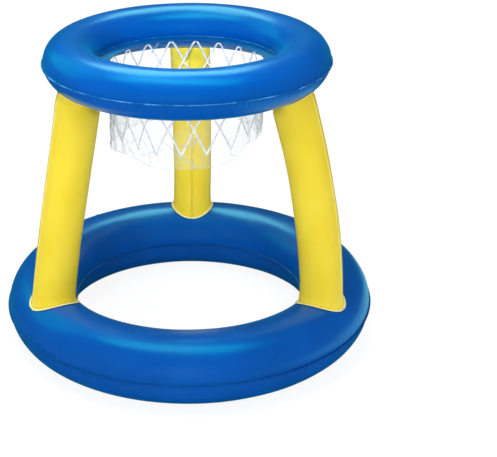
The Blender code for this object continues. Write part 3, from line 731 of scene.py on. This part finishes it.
def skirtSpot(azimuth, share, lift=0.0):
    # a point of the skirt, and how strongly its creases carry the painted glint there
    grown = share ** skirt["growth"]
    radius = skirt["topRadius"] + (skirt["hemRadius"] - skirt["topRadius"]) * share
    radius += skirt["foldDepth"] * swells(azimuth, skirt["folds"]) * grown
    lean = skirt["pleatLean"] * math.sin(skirt["pleatBend"] * share)
    pleat = swells(azimuth + lean, skirt["pleats"]) * ease(share / skirt["pleatStart"])
    level = skirt["top"] - skirt["length"] * share
    level += skirt["hemLift"] * swells(azimuth, skirt["hem"]) * share ** 2
    angle = math.radians(azimuth + swells(azimuth, skirt["slip"]) * grown)
    ridge = crumple(Vector((radius * math.cos(angle), radius * math.sin(angle), level)))
    fold = creaseHeight(turned(azimuth), level)
    radius += (skirt["crumple"] * ridge * ease(share / skirt["crumpleStart"])
               + packCrease["height"] * fold + lift)
    radius += skirt["pleat"] * pleat
    glint = (skirt["ridgeGlint"] * max(0.0, ridge - 1.0) + skirt["foldGlint"] * fold
             + skirt["pleatGlint"] * pleat)
    return Vector((radius * math.cos(angle), radius * math.sin(angle), level)), min(1.0, glint)


def makeSkirt():
    rows, creaseGlint, handled = [], [], []
    columns = skirt["columns"]
    azimuths = [360.0 * j / columns for j in range(columns)]
    bandLevel = skirt["top"] - film["sheet"] / 2
    for k in range(skirt["bandRows"]):
        radius = skirt["topRadius"] + skirt["band"] * (1 - k / skirt["bandRows"])
        rows.append([(radius * math.cos(angle), radius * math.sin(angle), bandLevel)
                     for angle in map(math.radians, azimuths)])
        creaseGlint.append([0.0] * columns)
        handled.append([skirt["topHaze"]] * columns)
    for k in range(skirt["rows"] + 1):
        share = k / skirt["rows"]
        spots = [skirtSpot(a, share) for a in azimuths]
        drop = film["sheet"] / 2 if k == 0 else 0.0
        rows.append([(p.x, p.y, p.z - drop) for p, _ in spots])
        edge = skirt["hemGlint"] if k == skirt["rows"] else 0.0
        creaseGlint.append([max(c, edge) for _, c in spots])
        haze = ease((share - skirt["hazeStart"]) / skirt["hazeReach"])
        handled.append([skirt["topHaze"] + (1 - skirt["topHaze"]) * haze] * columns)
    obj = gridMesh("skirtFilm", rows, {"creaseGlint": creaseGlint, "handled": handled}, True,
                   lambda centre: Vector((centre.x, centre.y, 0.0)), clearFilm, film["sheet"], 0.0)
    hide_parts("net_film")
    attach(obj, root)
    return obj


skirtFilm = makeSkirt()
print("skirt made")


# net printed on the skirt: round loops at the top, then lines that cross and end in points
netPrint = {
    "repeats": 19, "phase": 11.0,        # loops round the skirt, and degrees to the first
    "rows": (0.0, 0.256, 0.517, 0.827),  # loop tops, crossings and points, as shares of the length
    "line": 0.0032, "ink": 0.00015,      # width and thickness of a printed line
    "lift": 0.00036,                     # from the middle of the film to the ink
    "topInset": 0.0004,                  # metres from the flange to the loops
    "topShare": 0.002,                   # no ink lies above this share of the length
    "slide": ((95.0, 50.0, -2.2),),      # the print was fed a little unevenly, in degrees
    "loopRound": 0.20, "loopSteps": 26, "lineSteps": 10,
}


def makePrint(spec):
    columns = 2 * spec["repeats"]
    step = 360.0 / columns
    scale = math.radians(skirt["topRadius"])         # metres per degree round the skirt
    length = skirt["length"]
    shares = [max(share, spec["topInset"] / length) for share in spec["rows"]]
    half = spec["line"] / 2
    blunt = spec["loopRound"]
    bm = bmesh.new()
    made = {}
    crossings = {}

    def vert(azimuth, share):
        key = (round(azimuth % 360.0, 5), round(share, 6))
        if key not in made:
            slid = azimuth + swells(azimuth, spec["slide"])
            made[key] = bm.verts.new(skirtSpot(slid, max(share, spec["topShare"]), spec["lift"])[0])
        return made[key]

    def ribbon(outer, inner):
        for k in range(len(outer) - 1):
            bm.faces.new([vert(*outer[k]), vert(*outer[k + 1]), vert(*inner[k + 1]), vert(*inner[k])])

    def blend(first, last):
        steps = spec["lineSteps"]
        return [tuple(a + (b - a) * k / steps for a, b in zip(first, last)) for k in range(steps + 1)]

    def corner(i, j, side):
        # a corner of one crossing, a full turn on or back where the columns start again
        azimuth, share = crossings[i, j % columns][side]
        return azimuth + 360.0 * (j // columns), share

    for i in range(1, len(shares)):
        rise = (shares[i] - shares[i - 1]) * length
        run = step * scale
        slant = math.hypot(rise, run)
        wide, tall = half * slant / rise / scale, half * slant / run / length
        for j in range(i % 2, columns, 2):
            middle = spec["phase"] + step * j
            crossings[i, j] = {"right": (middle + wide, shares[i]), "left": (middle - wide, shares[i]),
                               "top": (middle, shares[i] - tall), "bottom": (middle, shares[i] + tall)}
            bm.faces.new([vert(*corner(i, j, side)) for side in ("right", "top", "left", "bottom")])
    for i in range(2, len(shares)):
        for j in range(i % 2, columns, 2):
            ribbon(blend(corner(i, j, "top"), corner(i - 1, j + 1, "left")),
                   blend(corner(i, j, "right"), corner(i - 1, j + 1, "bottom")))
            ribbon(blend(corner(i, j, "left"), corner(i - 1, j - 1, "bottom")),
                   blend(corner(i, j, "top"), corner(i - 1, j - 1, "right")))
    for j in range(0, columns, 2):
        # a loop is a blunted V, with the line's width set off to both sides
        middle = spec["phase"] + step * j
        outer, inner = [], []
        for k in range(spec["loopSteps"] + 1):
            u = -1 + 2 * k / spec["loopSteps"]
            fall = (math.hypot(u, blunt) - blunt) / (math.hypot(1.0, blunt) - blunt)
            slope = u / math.hypot(u, blunt) / (math.hypot(1.0, blunt) - blunt)
            x, y = u * step, shares[0] + (shares[1] - shares[0]) * fall
            dx, dy = step * scale, -(shares[1] - shares[0]) * length * slope
            size = math.hypot(dx, dy)
            nx, ny = -dy / size * half / scale, dx / size * half / length
            outer.append((middle + x + nx, y - ny))
            inner.append((middle + x - nx, y + ny))
        outer[0], inner[0] = corner(1, j - 1, "top"), corner(1, j - 1, "right")
        outer[-1], inner[-1] = corner(1, j + 1, "top"), corner(1, j + 1, "left")
        ribbon(outer, inner)
    bmesh.ops.recalc_face_normals(bm, faces=bm.faces)
    bm.faces.ensure_lookup_table()
    face = bm.faces[0]
    if face.normal.dot(Vector((*face.calc_center_median().xy, 0.0))) < 0:
        bmesh.ops.reverse_faces(bm, faces=bm.faces)
    mesh = bpy.data.meshes.new("printedNet")
    bm.to_mesh(mesh)
    bm.free()
    obj = meshObject(mesh, whiteInk, "inkThickness", spec["ink"], 1.0)
    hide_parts("net_print")
    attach(obj, root)
    return obj


printedNet = makePrint(netPrint)
print("net printed")


# valves keep their solids, in moulded vinyl
for name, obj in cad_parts.items():
    if "_valve_" in name:
        for slot in obj.material_slots:
            slot.material = valveVinyl
print("valves dressed")


# studio: pale sweep of paper, soft lamps overhead and in front, and weaker fills
studio = {
    "floor": "#F3F3F3", "floorSize": 9.0, "ambient": 0.76, "air": "#EEF0FF",
    "seenPaper": "#6E6E6E", "seenGlow": 0.90,      # paper as camera and gloss see it, burnt out
    "aim": (0.0, 0.0, 0.25),                       # where a lamp points that names no aim
    "lamps": {
        "overheadSoftbox": {"place": (-0.34, -0.35, 2.3), "size": (1.2, 1.0), "power": 23.0,
                            "gloss": False},
        "leftFill": {"place": (-2.2, -1.8, 1.1), "size": (1.2, 1.6), "power": 7.0, "gloss": False},
        "rightFill": {"place": (2.2, -1.9, 1.0), "size": (1.2, 1.6), "power": 5.0, "gloss": False,
                      "tone": "#FFEBC4"},
        "frontFill": {"place": (-0.3, -4.2, 0.9), "size": (2.4, 1.6), "power": 38.0, "gloss": False},
        # three that only gloss shows: pale green behind, blue-green overhead, a glint at the floor
        "rearStrip": {"place": (-0.22, 1.34, 2.58), "size": (1.7, 1.45), "power": 60.0,
                      "tone": "#C0FFF0", "diffuse": False},
        "gelOverhead": {"place": (-0.15, -0.42, 2.4), "size": (2.6, 0.85), "power": 37.0,
                        "tone": "#28F6E2", "diffuse": False},
        "floorGlint": {"place": (0.58, 0.02, 0.003), "aim": (0.58, 0.02, 5.0), "size": (0.46, 1.0),
                       "power": 1.5, "tone": "#94F0FF", "diffuse": False},
        "backFill": {"place": (0.2, 3.4, 1.2), "size": (2.2, 1.6), "power": 18.0, "gloss": False},
        # one more of those, blue-green from the left
        "gelLeft": {"place": (-2.3, 1.2, 1.9), "size": (2.4, 2.2), "power": 25.0,
                    "tone": "#28F6E2", "diffuse": False},
    },
    # narrow cones: to the leg behind, into the mouth, and low on the inner wall of the base
    "snoots": {
        "backLegSnoot": {"place": (0.0, -2.4, 0.62), "aim": (0.0, 0.22, 0.235), "cone": 8.4,
                         "narrow": 1.0, "power": 92.0, "soft": 0.08},
        "mouthSnoot": {"place": (0.0, -2.3, 1.30), "aim": (0.0, 0.125, 0.434), "cone": 8.0,
                       "narrow": 0.24, "power": 340.0, "soft": 0.05, "tone": "#E6F4FF"},
        "innerWallSnoot": {"place": (0.0, -2.4, 1.15), "aim": (0.0, 0.19, 0.018), "cone": 8.8,
                           "narrow": 0.14, "power": 100.0, "soft": 0.04},
    },
    "snootBlend": 0.8,                             # softness of the cones' edges
    # black cloth all round, seen by gloss alone: the reflections are then the lamps' and stay deep
    "tent": {"low": (-3.2, -3.2, 0.0015), "high": (3.2, 3.2, 4.2)},
    "gobo": {"place": (0.0, 0.0, 0.43), "size": (0.22, 0.22)},      # keeps a glint off the base's front
}


def seenRay(tree):
    # 1 on rays that show a background: straight from the camera, off gloss or through clear film
    ray = addNode(tree, "ShaderNodeLightPath")
    either = addNode(tree, "ShaderNodeMath", {"operation": "MAXIMUM"},
                     {0: ray.outputs["Is Camera Ray"], 1: ray.outputs["Is Glossy Ray"]})
    either = addNode(tree, "ShaderNodeMath", {"operation": "MAXIMUM"},
                     {0: either.outputs[0], 1: ray.outputs["Is Transmission Ray"]})
    return either.outputs[0]


def makeFloor(spec):
    # matt paper, which takes the soft shadow and burns out to white wherever it is seen
    half = spec["floorSize"] / 2
    mesh = bpy.data.meshes.new("paperFloor")
    mesh.from_pydata([(-half, -half, 0.0), (half, -half, 0.0), (half, half, 0.0), (-half, half, 0.0)],
                     [], [(0, 1, 2, 3)])
    obj = bpy.data.objects.new("paperFloor", mesh)
    bpy.context.collection.objects.link(obj)
    material, tree, shader = startMaterial("mattPaper")
    matt = {"Roughness": 0.9, "Specular IOR Level": 0.0}
    setShader(shader, {**matt, "Base Color": toLinear(spec["floor"])})
    burnt = addNode(tree, "ShaderNodeBsdfPrincipled", {
        **matt, "Base Color": toLinear(spec["seenPaper"]),
        "Emission Color": toLinear("#FFFFFF"), "Emission Strength": spec["seenGlow"]})
    mix = addNode(tree, "ShaderNodeMixShader", None,
                  {0: seenRay(tree), 1: shader.outputs["BSDF"], 2: burnt.outputs["BSDF"]})
    tree.links.new(mix.outputs[0], tree.nodes["Material Output"].inputs["Surface"])
    mesh.materials.append(material)


def placeLamp(data, spec, aim):
    obj = bpy.data.objects.new(data.name, data)
    bpy.context.collection.objects.link(obj)
    data.energy = spec["power"]
    data.color = toLinear(spec.get("tone", "#FFFFFF"))[:3]
    obj.location = spec["place"]
    obj.rotation_euler = (Vector(aim) - obj.location).to_track_quat("-Z", "Y").to_euler()
    obj.visible_diffuse = spec.get("diffuse", True)
    obj.visible_glossy = spec.get("gloss", True)
    obj.visible_camera = False
    return obj


def makeLamps(spec):
    for name, lamp in spec["lamps"].items():
        data = bpy.data.lights.new(name, "AREA")
        data.shape = "RECTANGLE"
        data.size, data.size_y = lamp["size"]
        placeLamp(data, lamp, lamp.get("aim", spec["aim"]))
    for name, snoot in spec["snoots"].items():
        data = bpy.data.lights.new(name, "SPOT")
        data.spot_size = math.radians(snoot["cone"])
        data.spot_blend = spec["snootBlend"]
        data.shadow_soft_size = snoot["soft"]
        placeLamp(data, {**snoot, "gloss": False}, snoot["aim"]).scale.y = snoot["narrow"]


def makeCloth(name, corners, faces):
    # black cloth with no gloss of its own, which hides the white room from the glossy film
    material, _, shader = startMaterial("blackCloth")
    setShader(shader, {"Base Color": toLinear("#000000"), "Roughness": 1.0, "Specular IOR Level": 0.0})
    mesh = bpy.data.meshes.new(name)
    mesh.from_pydata(corners, [], faces)
    mesh.materials.append(material)
    obj = bpy.data.objects.new(name, mesh)
    bpy.context.collection.objects.link(obj)
    obj.visible_camera = obj.visible_diffuse = obj.visible_shadow = obj.visible_transmission = False


def makeTent(spec):
    (x0, y0, z0), (x1, y1, z1) = spec["tent"]["low"], spec["tent"]["high"]
    outline = ((x0, y0), (x1, y0), (x1, y1), (x0, y1))
    makeCloth("blackTent", [(x, y, z) for z in (z0, z1) for x, y in outline],
              [(0, 1, 2, 3), (7, 6, 5, 4), (4, 5, 1, 0), (5, 6, 2, 1), (6, 7, 3, 2), (7, 4, 0, 3)])
    x, y, z = spec["gobo"]["place"]
    w, h = (size / 2 for size in spec["gobo"]["size"])
    makeCloth("blackGobo",
              [(x - w, y - h, z), (x + w, y - h, z), (x + w, y + h, z), (x - w, y + h, z)],
              [(0, 1, 2, 3)])


def makeWorld(spec):
    world = bpy.data.worlds.new("studioWorld")
    bpy.context.scene.world = world
    world.use_nodes = True
    tree = world.node_tree
    seen = seenRay(tree)
    strength = addNode(tree, "ShaderNodeMapRange", {"To Min": spec["ambient"], "To Max": 1.0},
                       {"Value": seen})
    back = tree.nodes["Background"]
    air = addNode(tree, "ShaderNodeMix",
                  {"data_type": "RGBA", 6: toLinear(spec["air"]), 7: toLinear("#FFFFFF")}, {0: seen})
    tree.links.new(air.outputs[2], back.inputs["Color"])
    tree.links.new(strength.outputs["Result"], back.inputs["Strength"])


makeFloor(studio)
makeLamps(studio)
makeTent(studio)
makeWorld(studio)
bpy.context.scene.view_settings.view_transform = "Standard"
print("studio lit")
